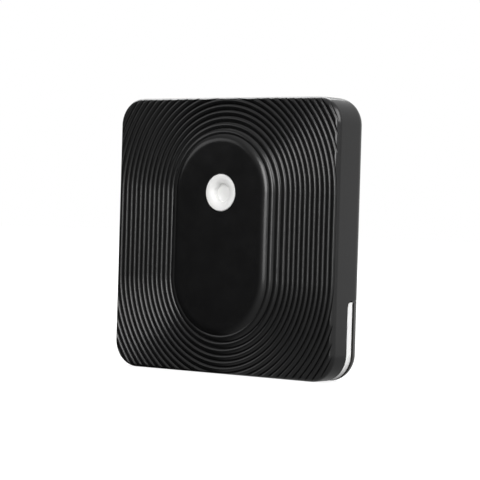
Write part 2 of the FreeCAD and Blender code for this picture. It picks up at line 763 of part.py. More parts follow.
def make_row(label, part_name, count):
    """A row of like components, side by side across the board, kept as one group."""
    pitch = size(part_name + "_pitch")
    first = size(part_name + "_across") - pitch * ((count - 1) / 2)
    up = boss_height + size(part_name + "_up")
    blocks = [make_block("%s_%d" % (part_name, index + 1), first + pitch * index, up, part_name, False)
              for index in range(count)]
    group = doc.addObject("Part::Compound", label)
    group.Links = blocks
    group.Label = label


def make_components():
    for label in ("status_led", "radio_chip", "main_crystal", "clock_crystal"):
        make_front_part(label)
    make_window_part("climate_sensor", 1, -1)
    make_window_part("chip_antenna", -1, 1)
    make_row("capacitors", "capacitor", 4)
    make_row("resistors", "resistor", 3)
    make_row("inductors", "inductor", 2)


SUBPARTS = ["front_shell", "inner_frame", "circuit_board", "rear_cover", "button_cap", "switch_dome",
            "status_led", "radio_chip", "main_crystal", "clock_crystal", "climate_sensor", "chip_antenna",
            "capacitors", "resistors", "inductors", "battery_contact_negative", "battery_clip_positive",
            "battery_can", "battery_gasket", "battery_cap"]

make_front_shell()
make_inner_frame()
make_circuit_board()
make_rear_cover()
make_button()
make_switch_dome()
make_coin_cell()
make_negative_contact()
make_positive_clip()
make_components()
doc.recompute()


# Every object has to be sound before anything is written
for item in doc.Objects:
    if "Invalid" in item.State or "Error" in item.State:
        raise RuntimeError("%s failed: %s" % (item.Name, item.State))
for label in SUBPARTS:
    shape = doc.getObject(label).Shape
    if shape.isNull() or not shape.isValid() or not shape.Solids:
        raise RuntimeError("%s has no sound shape" % label)

os.makedirs("parts", exist_ok=True)
for label in SUBPARTS:
    shape = doc.getObject(label).Shape
    shape.exportStep("parts/%s.step" % label)
    print("%-26s %2d solids %9.3f mm3" % (label, len(shape.Solids), shape.Volume))
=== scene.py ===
import math

import bmesh
import bpy
from mathutils import Matrix, Vector


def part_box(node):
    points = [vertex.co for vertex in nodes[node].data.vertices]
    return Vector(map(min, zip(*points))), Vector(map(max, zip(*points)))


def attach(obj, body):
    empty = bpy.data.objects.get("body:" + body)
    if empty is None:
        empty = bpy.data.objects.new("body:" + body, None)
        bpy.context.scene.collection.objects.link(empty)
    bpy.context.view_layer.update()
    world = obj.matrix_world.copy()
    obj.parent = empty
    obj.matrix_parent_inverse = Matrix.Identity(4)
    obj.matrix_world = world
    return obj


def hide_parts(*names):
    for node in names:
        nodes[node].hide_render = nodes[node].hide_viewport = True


# A slim room sensor for temperature and humidity: a ribbed black case with an oval boss and a
# white dished button, a white inner frame that shows in a notch, and a clip-on rear cover.
# Metres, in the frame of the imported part: X to the right, Y to the rear, Z up.
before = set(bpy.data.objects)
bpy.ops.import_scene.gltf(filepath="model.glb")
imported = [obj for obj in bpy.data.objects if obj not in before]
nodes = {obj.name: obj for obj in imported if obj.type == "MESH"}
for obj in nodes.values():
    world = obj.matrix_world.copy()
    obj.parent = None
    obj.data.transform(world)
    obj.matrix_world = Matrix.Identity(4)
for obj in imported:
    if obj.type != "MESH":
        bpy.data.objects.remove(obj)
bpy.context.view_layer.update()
MM = 0.001


# Camera
# The eye stands to the right of the object and looks at it from about the height of its middle.
# The centre of the oval lies a little to the left of and above the middle of the picture.
PICTURE_SIDE = 480
FOCAL_PIXELS = 2061.5
OVAL_PIXELS_LEFT = 16.4
OVAL_PIXELS_UP = 5.0
EYE_DISTANCE = 260.8 * MM
EYE_YAW = math.radians(37.97)
EYE_PITCH = math.radians(0.545)
EYE_ROLL = math.radians(1.69)
SENSOR_WIDTH = 36
NEAREST_SEEN = 10 * MM
OVAL_CENTRE = Vector((0, -2.3, 17.6)) * MM

eye_back = Vector((math.sin(EYE_YAW) * math.cos(EYE_PITCH),
                   -math.cos(EYE_YAW) * math.cos(EYE_PITCH),
                   math.sin(EYE_PITCH)))
level_right = Vector((math.cos(EYE_YAW), math.sin(EYE_YAW), 0))
level_up = eye_back.cross(level_right)
eye_right = level_right * math.cos(EYE_ROLL) + level_up * math.sin(EYE_ROLL)
eye_up = level_up * math.cos(EYE_ROLL) - level_right * math.sin(EYE_ROLL)
facing = Matrix((eye_right, eye_up, eye_back)).transposed()
sight = Vector((-OVAL_PIXELS_LEFT, OVAL_PIXELS_UP, -FOCAL_PIXELS))
aim = sight.rotation_difference(Vector((0, 0, -1))).to_matrix()
eye_place = OVAL_CENTRE + eye_back * EYE_DISTANCE

camera_data = bpy.data.cameras.new("camera")
camera_data.sensor_width = SENSOR_WIDTH
camera_data.lens = FOCAL_PIXELS / PICTURE_SIDE * SENSOR_WIDTH
camera_data.clip_start = NEAREST_SEEN
camera = bpy.data.objects.new("camera", camera_data)
camera.matrix_world = Matrix.Translation(eye_place) @ (facing @ aim).to_4x4()
bpy.context.scene.collection.objects.link(camera)
bpy.context.scene.camera = camera


# Front shell
# One moulding in black plastic: walls with round corners, an oval boss in front, and round ribs
# that run about the boss and out over the edges. They sink a little towards its foot and climb to it.
case_low, case_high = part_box("front_shell")
CASE_CORNER = 3.45 * MM
FRONT_ROUNDING = 0.8 * MM
REAR_ROUNDING = 1.5 * MM
SIDE_WALL = 1.2 * MM
FRONT_WALL = 0.75 * MM
BOSS_RISE = 0.95 * MM
OVAL_HALF_SPAN = 5.35 * MM
FIRST_GROOVE = 7.4 * MM
INNER_PITCH = 0.8 * MM
RIB_PITCH = 0.75 * MM
RIB_RISE = 0.3 * MM
RIB_FLATTENING = 0.14 * MM
RIB_DIP = 0.17 * MM
CREST_ROOM = 0.05 * MM
BOSS_EDGE_WIDTH = 1.0 * MM
BOSS_EDGE_DROP = 0.4 * MM
BOSS_SIDE_WALL = 1.5 * MM
BOSS_WALL = 0.8 * MM
BUTTON_HOLE = 2.43 * MM
NOTCH_TOP = 10.05 * MM
NOTCH_FRONT = 0.4 * MM
NOTCH_CORNER = 0.85 * MM
WIDE_RIBS = 3
CLIMBING_RIBS = 5
# How finely curves are divided, and the small lengths that keep faces clean
RIB_STEPS = 9
EDGE_STEPS = 8
TURN_STEPS = 72
CORNER_STEPS = 16
INSIDE_STEPS = 11
ROUND_STEPS = 64
FLAT_SHARE = 0.97
ROUND_SHARE = 0.99999
SPARE = 2 * MM
LONG_SPARE = SPARE * 1.5
LONGER_SPARE = SPARE * 2
MERGE = 0.0005 * MM
SLIVER = 0.00001 * MM
HAIR = 0.002 * MM
SMOOTH_ANGLE = math.radians(32)
# The moulds' patterns, and the part of a noise's numbers that most of its area has
COLOUR_DRIFT = 6 * MM
GLOSS_DRIFT = 2 * MM
GRAIN_DETAIL = 2
GRAIN_STRENGTH = 0.35
NOISE_LOW = 0.3
NOISE_HIGH = 0.7

front_face = case_low.y
rear_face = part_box("rear_cover")[1].y
half_width = case_high.x
groove_level = front_face + BOSS_RISE
crest_level = groove_level - RIB_RISE
oval_middle = OVAL_CENTRE.z
button_middle = sum(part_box("button_cap"), Vector()) / 2


def arc_points(start, end, rise, steps):
    """Points, as (radius, depth), of an arc that bulges to the front; its start is left out."""
    half = (end - start) / 2
    radius = (half.length ** 2 + rise ** 2) / (2 * rise)
    reach = math.asin(half.length / radius)
    forward = Vector((half.y, -half.x)).normalized()
    centre = (start + end) / 2 + forward * (rise - radius)
    along = half.normalized()
    points = []
    for step in range(1, steps + 1):
        turned = reach * (2 * step / steps - 1)
        points.append(centre + along * radius * math.sin(turned) + forward * radius * math.cos(turned))
    return points


def boss_and_ribs():
    """The section from the middle of the boss out over its rounded edge and all the ribs."""
    drop_radius = (BOSS_EDGE_WIDTH ** 2 + BOSS_EDGE_DROP ** 2) / (2 * BOSS_EDGE_DROP)
    flat_end = FIRST_GROOVE - BOSS_EDGE_WIDTH
    points = [Vector((0, front_face)),
              Vector((flat_end * FLAT_SHARE, front_face)),
              Vector((flat_end, front_face))]
    for step in range(1, EDGE_STEPS + 1):
        turned = math.asin(BOSS_EDGE_WIDTH / drop_radius) * step / EDGE_STEPS
        points.append(Vector((flat_end + drop_radius * math.sin(turned),
                              front_face + drop_radius * (1 - math.cos(turned)))))
    radii = [FIRST_GROOVE]
    while radii[-1] < math.hypot(half_width, oval_middle - OVAL_HALF_SPAN):
        radii.append(radii[-1] + (INNER_PITCH if len(radii) <= WIDE_RIBS else RIB_PITCH))
    foot = radii[CLIMBING_RIBS]
    climb = BOSS_RISE - BOSS_EDGE_DROP + RIB_DIP
    for radius in radii[1:]:
        ground = groove_level + RIB_DIP * (1 - min(1, max(0, (radius - foot) / (half_width - foot))))
        share = max(0, (foot - radius) / (foot - FIRST_GROOVE))
        floor = Vector((radius, ground - climb * share ** 3))
        points += arc_points(points[-1], floor, RIB_RISE - share * RIB_FLATTENING, RIB_STEPS)
    return points


def start_object(name):
    """Name the new object, and apply its place, turn and size to its mesh."""
    piece = bpy.context.object
    piece.name = name
    bpy.ops.object.transform_apply(location=True, rotation=True, scale=True)
    return piece


def draw_section(name, points, centre_height):
    """Extrude a vertex from point to point of a section that stands out to the right of a centre."""
    bpy.ops.object.select_all(action="DESELECT")
    places = [Vector((point.x, point.y, centre_height)) for point in points]
    bpy.ops.mesh.primitive_plane_add(size=MM, location=places[0])
    piece = start_object(name)
    bpy.ops.object.mode_set(mode="EDIT")
    bpy.ops.mesh.select_mode(type="VERT")
    bpy.ops.mesh.select_all(action="SELECT")
    bpy.ops.mesh.merge(type="CENTER")
    for start, end in zip(places, places[1:]):
        bpy.ops.mesh.extrude_vertices_move(TRANSFORM_OT_translate={"value": end - start})
    bpy.ops.mesh.select_all(action="SELECT")
    return piece


def ribbed_front():
    """Turn the section half round each end of the oval, with straight runs between, and close it."""
    upper = oval_middle + OVAL_HALF_SPAN
    lower = oval_middle - OVAL_HALF_SPAN
    to_rear = (0, rear_face - front_face + SPARE, 0)
    piece = draw_section("case_front", boss_and_ribs(), upper)
    for centre, run in ((upper, lower - upper), (lower, upper - lower)):
        bpy.ops.mesh.spin(steps=TURN_STEPS, angle=math.pi, center=(0, 0, centre), axis=(0, 1, 0))
        bpy.ops.mesh.extrude_region_move(TRANSFORM_OT_translate={"value": (0, 0, run)})
    bpy.ops.mesh.select_all(action="SELECT")
    bpy.ops.mesh.remove_doubles(threshold=MERGE)
    bpy.ops.mesh.select_all(action="DESELECT")
    bpy.ops.mesh.select_non_manifold()
    bpy.ops.mesh.extrude_region_move(TRANSFORM_OT_translate={"value": to_rear})
    bpy.ops.mesh.edge_face_add()
    bpy.ops.mesh.select_all(action="SELECT")
    bpy.ops.mesh.normals_make_consistent(inside=False)
    bpy.ops.object.mode_set(mode="OBJECT")
    return piece


def select_edges(piece, wanted):
    """In edit mode, select the edges whose two ends pass a test."""
    bpy.ops.mesh.select_mode(type="EDGE")
    bpy.ops.mesh.select_all(action="DESELECT")
    mesh = bmesh.from_edit_mesh(piece.data)
    for edge in mesh.edges:
        start, end = (vertex.co for vertex in edge.verts)
        if wanted(start, end):
            edge.select_set(True)
    bmesh.update_edit_mesh(piece.data)


def runs_in_depth(start, end):
    """Whether an edge runs straight from front to rear."""
    return abs(start.x - end.x) < MERGE and abs(start.z - end.z) < MERGE


def at_depth(depth):
    """The test whether an edge lies at one depth."""
    return lambda start, end: abs(start.y - depth) < MERGE and abs(end.y - depth) < MERGE


def bevel_selected(radius, steps):
    """Round the selected edges."""
    bpy.ops.mesh.bevel(offset=radius, offset_type="OFFSET", segments=steps, profile=0.5, affect="EDGES",
                       clamp_overlap=False)


def rounded_block(name, low, high, corner=0, front=0, rear=0, steps=CORNER_STEPS):
    """A block between two corners, with its outline's corners and its front and rear edges rounded."""
    bpy.ops.object.select_all(action="DESELECT")
    bpy.ops.mesh.primitive_cube_add(size=1, location=(low + high) / 2, scale=high - low)
    block = start_object(name)
    bpy.ops.object.mode_set(mode="EDIT")
    if corner:
        select_edges(block, runs_in_depth)
        bevel_selected(corner, steps)
    for depth, rounding in ((low.y, front), (high.y, rear)):
        if rounding:
            select_edges(block, at_depth(depth))
            bevel_selected(rounding, EDGE_STEPS)
    bpy.ops.object.mode_set(mode="OBJECT")
    return block


def round_edges(piece, wanted, radius):
    """Round the edges of a finished block that pass a test."""
    bpy.context.view_layer.objects.active = piece
    bpy.ops.object.mode_set(mode="EDIT")
    select_edges(piece, wanted)
    bevel_selected(radius, EDGE_STEPS)
    bpy.ops.object.mode_set(mode="OBJECT")


def oval_prism(name, radius, front, rear):
    """A block with half round ends that stands on the middle of the oval."""
    low = Vector((-radius, front, oval_middle - OVAL_HALF_SPAN - radius))
    high = Vector((radius, rear, oval_middle + OVAL_HALF_SPAN + radius))
    return rounded_block(name, low, high, radius * ROUND_SHARE)


def round_prism(name, centre, radius, front, rear, steps=ROUND_STEPS):
    """A round bar that runs in depth at a place across and up."""
    bpy.ops.object.select_all(action="DESELECT")
    middle = Vector((centre.x, (front + rear) / 2, centre.z))
    bpy.ops.mesh.primitive_cylinder_add(vertices=steps, radius=radius, depth=rear - front, location=middle,
                                        rotation=(math.pi / 2, 0, 0))
    return start_object(name)


def combine(piece, other, operation):
    """Join two solids, cut the second from the first, or keep what they share; the second goes."""
    modifier = piece.modifiers.new("combine", "BOOLEAN")
    modifier.operation = operation
    modifier.solver = "EXACT"
    modifier.object = other
    bpy.ops.object.select_all(action="DESELECT")
    bpy.context.view_layer.objects.active = piece
    bpy.ops.object.modifier_apply(modifier=modifier.name)
    bpy.data.objects.remove(other)


def finish_piece(piece, body, slot, material, *replaced):
    """Clean the mesh, smooth its curves, and hand the piece over to its body."""
    bpy.ops.object.select_all(action="DESELECT")
    piece.select_set(True)
    bpy.context.view_layer.objects.active = piece
    bpy.ops.object.mode_set(mode="EDIT")
    bpy.ops.mesh.select_all(action="SELECT")
    bpy.ops.mesh.dissolve_degenerate(threshold=SLIVER)
    bpy.ops.object.mode_set(mode="OBJECT")
    bpy.ops.object.shade_smooth_by_angle(angle=SMOOTH_ANGLE)
    weighted = piece.modifiers.new("even_faces", "WEIGHTED_NORMAL")
    weighted.keep_sharp = True
    bpy.ops.object.modifier_apply(modifier=weighted.name)
    piece.data.materials.clear()
    piece.data.materials.append(material)
    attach(piece, body)
    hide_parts(*replaced)


def new_material(name):
    """An empty material with its shader, and the Object coordinates that its patterns read."""
    material = bpy.data.materials.new(name)
    material.use_nodes = True
    tree = material.node_tree
    shader = tree.nodes["Principled BSDF"]
    coordinates = tree.nodes.new("ShaderNodeTexCoord")
    return material, tree, shader, coordinates.outputs["Object"]


def add_noise(tree, place, size, detail=3):
    """Soft random relief with features of a given size."""
    noise = tree.nodes.new("ShaderNodeTexNoise")
    noise.inputs["Scale"].default_value = 1 / size
    noise.inputs["Detail"].default_value = detail
    tree.links.new(place, noise.inputs["Vector"])
    return noise.outputs["Fac"]


def map_range(tree, value, start, end, low, high):
    """A node that maps the numbers from start to end to those from low to high."""
    mapped = tree.nodes.new("ShaderNodeMapRange")
    for socket, number in (("From Min", start), ("From Max", end), ("To Min", low), ("To Max", high)):
        mapped.inputs[socket].default_value = number
    tree.links.new(value, mapped.inputs["Value"])
    return mapped


def spread(tree, noise, low, high):
    """Spread a noise over a range of numbers."""
    return map_range(tree, noise, NOISE_LOW, NOISE_HIGH, low, high).outputs["Result"]


def blend_colours(tree, noise, shader, dark, light):
    """Let the colour of a shader drift from dark to light with a noise."""
    colour = tree.nodes.new("ShaderNodeValToRGB")
    colour.color_ramp.elements[0].color = (*dark, 1)
    colour.color_ramp.elements[1].color = (*light, 1)
    tree.links.new(noise, colour.inputs["Fac"])
    tree.links.new(colour.outputs["Color"], shader.inputs["Base Color"])


def add_bump(tree, shader, height, strength, distance):
    """Let light find a relief that is too fine for the mesh."""
    bump = tree.nodes.new("ShaderNodeBump")
    bump.inputs["Strength"].default_value = strength
    bump.inputs["Distance"].default_value = distance
    tree.links.new(height, bump.inputs["Height"])
    tree.links.new(bump.outputs["Normal"], shader.inputs["Normal"])


def moulded_plastic(name, dark, light, roughness, grain, depth):
    """Plastic from a spark-eroded mould: a fine even grain and faint drifts of colour and gloss."""
    material, tree, shader, place = new_material(name)
    blend_colours(tree, add_noise(tree, place, COLOUR_DRIFT), shader, dark, light)
    gloss = add_noise(tree, place, GLOSS_DRIFT)
    tree.links.new(spread(tree, gloss, *roughness), shader.inputs["Roughness"])
    add_bump(tree, shader, add_noise(tree, place, grain, GRAIN_DETAIL), GRAIN_STRENGTH, depth)
    return material


block = rounded_block("case_block", Vector((-half_width, crest_level - CREST_ROOM, case_low.z)),
                      Vector((half_width, rear_face, case_high.z)),
                      CASE_CORNER, FRONT_ROUNDING, REAR_ROUNDING)
boss_block = oval_prism("boss_block", FIRST_GROOVE + WIDE_RIBS * INNER_PITCH, front_face - SPARE, 0)
combine(block, boss_block, "UNION")
cavity_low = Vector((-half_width + SIDE_WALL, groove_level + FRONT_WALL, SIDE_WALL))
cavity_high = Vector((half_width - SIDE_WALL, rear_face + SPARE, case_high.z - SIDE_WALL))
cavity = rounded_block("cavity", cavity_low, cavity_high, CASE_CORNER - SIDE_WALL, steps=INSIDE_STEPS)
combine(block, cavity, "DIFFERENCE")
boss_hollow = oval_prism("boss_hollow", FIRST_GROOVE - BOSS_SIDE_WALL, front_face + BOSS_WALL, 0)
combine(block, boss_hollow, "DIFFERENCE")
hole = round_prism("button_hole", button_middle, BUTTON_HOLE, front_face - LONG_SPARE, 0)
combine(block, hole, "DIFFERENCE")
notch = rounded_block("notch", Vector((-half_width - SPARE, NOTCH_FRONT, -SPARE)),
                      Vector((half_width + SPARE, rear_face + SPARE, NOTCH_TOP)))
round_edges(notch, lambda start, end: min(start.z, end.z) > 0 and max(start.y, end.y) < rear_face,
            NOTCH_CORNER)
combine(block, notch, "DIFFERENCE")
case = ribbed_front()
combine(case, block, "INTERSECT")

case_plastic = moulded_plastic("case_plastic", dark=(0.0038, 0.0038, 0.004), light=(0.0054, 0.0054, 0.0056),
                               roughness=(0.21, 0.27), grain=0.12 * MM, depth=0.005 * MM)
finish_piece(case, "housing", "case_black", case_plastic, "front_shell")


# Button
# A white cap that moves in a round hole of the boss. Its mouth is rounded like a bell and falls
# steeply to a flat floor; a flange behind the wall of the boss keeps it in.
BUTTON_RADIUS = 2.35 * MM
BUTTON_INSET = 0.05 * MM
DISH_DEPTH = 1.1 * MM
DISH_FLOOR_RADIUS = 1.2 * MM
DISH_LIP = 0.85 * MM
DISH_LIP_DEPTH = 0.5 * MM
RIM_ROUNDING = 0.12 * MM
RIM_STEPS = 5
FLANGE_RADIUS = 2.95 * MM
FLANGE_DEPTH = 0.22 * MM
FLANGE_GAP = 0.05 * MM
BUTTON_FLOOR = 0.25 * MM
INNER_SHARE = 0.95
QUARTER_STEPS = 10
SPIN_STEPS = 96

rim_front = front_face + BUTTON_INSET
floor_front = front_face + DISH_DEPTH
flange_front = front_face + BOSS_WALL + FLANGE_GAP


def quarter(centre, radius, first, steps=QUARTER_STEPS):
    """Points of a quarter turn in (radius, depth), from one angle on."""
    turns = [first + math.pi / 2 * step / steps for step in range(steps + 1)]
    return [centre + Vector((math.cos(turned), math.sin(turned))) * radius for turned in turns]


button_section = [Vector((0, floor_front)),
                  Vector((DISH_FLOOR_RADIUS * INNER_SHARE, floor_front)),
                  Vector((DISH_FLOOR_RADIUS, floor_front))]
for place in quarter(Vector((1, 1)), 1, math.pi):
    mouth = Vector((DISH_FLOOR_RADIUS + DISH_LIP * place.x, rim_front + DISH_LIP_DEPTH * place.y))
    button_section.append(mouth)
rim_centre = Vector((BUTTON_RADIUS - RIM_ROUNDING, rim_front + RIM_ROUNDING))
button_section += quarter(rim_centre, RIM_ROUNDING, -math.pi / 2, RIM_STEPS)
button_section += [Vector((BUTTON_RADIUS, flange_front)),
                   Vector((FLANGE_RADIUS, flange_front)),
                   Vector((FLANGE_RADIUS, flange_front + FLANGE_DEPTH)),
                   Vector((DISH_FLOOR_RADIUS + FLANGE_DEPTH, flange_front + FLANGE_DEPTH)),
                   Vector((DISH_FLOOR_RADIUS, floor_front + BUTTON_FLOOR)),
                   Vector((0, floor_front + BUTTON_FLOOR))]


def turned_piece(name, section, centre, steps=SPIN_STEPS):
    """Spin a section once round an axis that runs in depth, and close it."""
    piece = draw_section(name, section, centre.z)
    bpy.ops.mesh.spin(steps=steps, angle=2 * math.pi, center=(0, 0, centre.z), axis=(0, 1, 0))
    bpy.ops.mesh.select_all(action="SELECT")
    bpy.ops.mesh.remove_doubles(threshold=MERGE)
    bpy.ops.mesh.normals_make_consistent(inside=False)
    bpy.ops.object.mode_set(mode="OBJECT")
    return piece


button = turned_piece("dished_button", button_section, button_middle)
button_plastic = moulded_plastic("button_plastic", dark=(0.83, 0.83, 0.82), light=(0.87, 0.87, 0.86),
                                 roughness=(0.28, 0.34), grain=0.15 * MM, depth=0.003 * MM)
finish_piece(button, "button", "button_white", button_plastic, "button_cap")


# Inner frame
# A white moulding that clamps the board and holds the coin cell. Its band comes out through the
# notch of the case, flush with the outside, and runs round the lower corners.
frame_low, frame_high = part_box("inner_frame")
FRAME_GAP = 0.1 * MM
FRAME_EDGE = 0.05 * MM
BOARD_GAP = 0.05 * MM
BAND_GAP = 0.05 * MM
BAND_DROP = 0.2 * MM
WELL_RADIUS = 10.2 * MM
WELL_STEPS = 128
CLIP_ROOM_HALF = 2.3 * MM
CLIP_ROOM_TOP = 30.15 * MM
PIN_PLACE = Vector((14.1, 0, 6.0)) * MM
PIN_HOLE = 1.0 * MM
POST_PLACE = Vector((6.6, 0, 13.6)) * MM
POST_HOLE = 0.85 * MM
SOCKET_STEPS = 32
WINDOW_PLACE = Vector((12.5, 0, 12.5)) * MM
WINDOW_HALF = 2.1 * MM
WINDOW_CORNER = 0.4 * MM
SOFT_STEPS = 2
SHARP_ANGLE = math.radians(50)

case_middle = Vector((0, 0, (case_low.z + case_high.z) / 2))
frame_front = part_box("circuit_board")[1].y + BOARD_GAP
band_rear = frame_high.y
band_front = NOTCH_FRONT + BAND_GAP
band_top = NOTCH_TOP - BAND_DROP
cut_front = frame_front - SPARE
cut_rear = band_rear + SPARE


def four_places(place):
    """The four places to the left and right of and above and below the middle of the case."""
    signs = [(side, level) for side in (1, -1) for level in (1, -1)]
    return [case_middle + Vector((place.x * side, 0, place.z * level)) for side, level in signs]


def soften_edges(piece, width):
    """Take the sharpness off every edge, as a mould does."""
    bevel = piece.modifiers.new("soft_edges", "BEVEL")
    bevel.width = width
    bevel.segments = SOFT_STEPS
    bevel.limit_method = "ANGLE"
    bevel.angle_limit = SHARP_ANGLE
    bevel.use_clamp_overlap = True
    bpy.context.view_layer.objects.active = piece
    bpy.ops.object.modifier_apply(modifier=bevel.name)


plate_inset = SIDE_WALL + FRAME_GAP
plate_low = Vector((-half_width + plate_inset, frame_front, plate_inset))
plate_high = Vector((half_width - plate_inset, band_rear, case_high.z - plate_inset))
white_frame = rounded_block("white_frame", plate_low, plate_high, CASE_CORNER - plate_inset)
band = rounded_block("band", Vector((frame_low.x, band_front, frame_low.z)),
                     Vector((frame_high.x, band_rear, NOTCH_TOP + CASE_CORNER)), CASE_CORNER)
band_end = rounded_block("band_end", Vector((-half_width - SPARE, cut_front, band_top)),
                         Vector((half_width + SPARE, cut_rear, NOTCH_TOP + CASE_CORNER + SPARE)))
combine(band, band_end, "DIFFERENCE")
round_edges(band, lambda start, end: min(start.z, end.z) > band_top - MERGE
            and max(start.y, end.y) < band_front + MERGE, NOTCH_CORNER - BAND_GAP)
combine(white_frame, band, "UNION")
well = round_prism("well", case_middle, WELL_RADIUS, cut_front, cut_rear, WELL_STEPS)
combine(white_frame, well, "DIFFERENCE")
clip_room = rounded_block("clip_room", Vector((-CLIP_ROOM_HALF, cut_front, case_middle.z)),
                          Vector((CLIP_ROOM_HALF, cut_rear, CLIP_ROOM_TOP)), WINDOW_CORNER)
combine(white_frame, clip_room, "DIFFERENCE")
for place, radius in ((PIN_PLACE, PIN_HOLE), (POST_PLACE, POST_HOLE)):
    for centre in four_places(place):
        socket = round_prism("socket", centre, radius, cut_front, cut_rear, SOCKET_STEPS)
        combine(white_frame, socket, "DIFFERENCE")
for centre in four_places(WINDOW_PLACE):
    half = Vector((WINDOW_HALF, 0, WINDOW_HALF))
    window = rounded_block("window", centre - half + Vector((0, cut_front, 0)),
                           centre + half + Vector((0, cut_rear, 0)), WINDOW_CORNER)
    combine(white_frame, window, "DIFFERENCE")
soften_edges(white_frame, FRAME_EDGE)
frame_plastic = moulded_plastic("frame_plastic", dark=(0.84, 0.84, 0.84), light=(0.9, 0.9, 0.89),
                                roughness=(0.34, 0.42), grain=0.12 * MM, depth=0.004 * MM)
finish_piece(white_frame, "housing", "frame_white", frame_plastic, "inner_frame")


# Circuit board and what is soldered to it
# Green solder resist over copper traces on a glass laminate. The chips are moulded in epoxy, the
# crystals have plated lids, and the dome, the contact and the clip are of spring steel.
BOARD_TRACE = 0.9 * MM
TRACE_WIDTH = 0.06
TRACE_SHIFT = 0.37
TRACE_RELIEF = 0.01 * MM
TRACE_STRENGTH = 0.4
RESIST_DARK = (0.012, 0.10, 0.045, 1)
RESIST_LIGHT = (0.016, 0.12, 0.05, 1)
RESIST_ON_COPPER = (0.03, 0.2, 0.08, 1)
RESIST_DRIFT = 1 * MM
RESIST_ROUGHNESS = (0.2, 0.32)
STREAK_SIZE = 0.2 * MM
STREAK_SHADE = 0.92
STREAK_RELIEF = 0.003 * MM
STREAK_STRENGTH = 0.2
ROLLED = (1, 1, 12)
PLATED = (1, 1, 1)


def board_finish():
    """Solder resist, lighter and raised where copper traces run under it."""
    material, tree, shader, place = new_material("board_finish")
    traces = tree.nodes.new("ShaderNodeTexBrick")
    traces.offset = TRACE_SHIFT
    traces.inputs["Scale"].default_value = 1 / BOARD_TRACE
    traces.inputs["Mortar Size"].default_value = TRACE_WIDTH
    traces.inputs["Color1"].default_value = RESIST_DARK
    traces.inputs["Color2"].default_value = RESIST_LIGHT
    traces.inputs["Mortar"].default_value = RESIST_ON_COPPER
    turned = tree.nodes.new("ShaderNodeMapping")
    turned.inputs["Rotation"].default_value = (math.pi / 2, 0, 0)
    tree.links.new(place, turned.inputs["Vector"])
    tree.links.new(turned.outputs["Vector"], traces.inputs["Vector"])
    tree.links.new(traces.outputs["Color"], shader.inputs["Base Color"])
    gloss = add_noise(tree, place, RESIST_DRIFT)
    tree.links.new(spread(tree, gloss, *RESIST_ROUGHNESS), shader.inputs["Roughness"])
    add_bump(tree, shader, traces.outputs["Fac"], TRACE_STRENGTH, TRACE_RELIEF)
    return material


def metal(name, colour, roughness, streak):
    """Plated or rolled metal: its gloss drifts, and faint streaks run across."""
    material, tree, shader, place = new_material(name)
    shader.inputs["Metallic"].default_value = 1
    stretched = tree.nodes.new("ShaderNodeMapping")
    stretched.inputs["Scale"].default_value = streak
    tree.links.new(place, stretched.inputs["Vector"])
    streaks = add_noise(tree, stretched.outputs["Vector"], STREAK_SIZE)
    blend_colours(tree, streaks, shader, [channel * STREAK_SHADE for channel in colour], colour)
    tree.links.new(spread(tree, streaks, *roughness), shader.inputs["Roughness"])
    add_bump(tree, shader, streaks, STREAK_STRENGTH, STREAK_RELIEF)
    return material


def dress_nodes(material, *names):
    """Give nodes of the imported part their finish."""
    for name in names:
        node = nodes[name]
        node.data.materials.clear()
        node.data.materials.append(material)


dress_nodes(board_finish(), "circuit_board")
spring_steel = metal("spring_steel", colour=(0.72, 0.7, 0.66), roughness=(0.22, 0.36), streak=ROLLED)
lid_metal = metal("lid_metal", colour=(0.7, 0.66, 0.56), roughness=(0.25, 0.4), streak=PLATED)
epoxy = moulded_plastic("epoxy", dark=(0.014, 0.014, 0.015), light=(0.022, 0.022, 0.023),
                        roughness=(0.45, 0.6), grain=0.04 * MM, depth=0.01 * MM)
dress_nodes(spring_steel, "battery_contact_negative", "battery_clip_positive", "switch_dome")
dress_nodes(lid_metal, "main_crystal", "clock_crystal")
dress_nodes(epoxy, "radio_chip", "climate_sensor", "inductors", "resistors")
led_resin = moulded_plastic("led_resin", dark=(0.8, 0.78, 0.6), light=(0.86, 0.84, 0.7),
                            roughness=(0.12, 0.2), grain=0.3 * MM, depth=0.002 * MM)
dress_nodes(led_resin, "status_led")
blue_ceramic = moulded_plastic("blue_ceramic", dark=(0.2, 0.32, 0.46), light=(0.26, 0.38, 0.52),
                               roughness=(0.2, 0.3), grain=0.1 * MM, depth=0.003 * MM)
dress_nodes(blue_ceramic, "chip_antenna")
tan_ceramic = moulded_plastic("tan_ceramic", dark=(0.42, 0.3, 0.17), light=(0.5, 0.37, 0.22),
                              roughness=(0.25, 0.35), grain=0.1 * MM, depth=0.003 * MM)
dress_nodes(tan_ceramic, "capacitors")


# Rear cover
# A black plate that drops between the walls of the case. Round the lower corners its lip is as wide
# as the case and leaves an air gap to the white band, with a low rim behind it that stops daylight
# and is open below for the air. Four posts push into sockets of the frame.
cover_low, cover_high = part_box("rear_cover")
COVER_GAP = 0.15 * MM
COVER_WALL = 0.7 * MM
LIP_FRONT = 1.8 * MM
LIP_TOP = 9.75 * MM
TONGUE_INSET = 0.3 * MM
TONGUE_GAP = 0.05 * MM
RIM_INSET = 0.7 * MM
RIM_WALL = 0.45 * MM
RIM_GAP = 0.08 * MM
AIR_WAY_HALF = 9 * MM
POST_RADIUS = 0.8 * MM
COVER_EDGE = 0.05 * MM
COVER_GLINT = 0.9

in_wall = rear_face - COVER_WALL / 2
cover = rounded_block("rear_lid", Vector((cover_low.x, 0, cover_low.z)),
                      Vector((cover_high.x, rear_face, case_high.z)), CASE_CORNER, 0, REAR_ROUNDING)

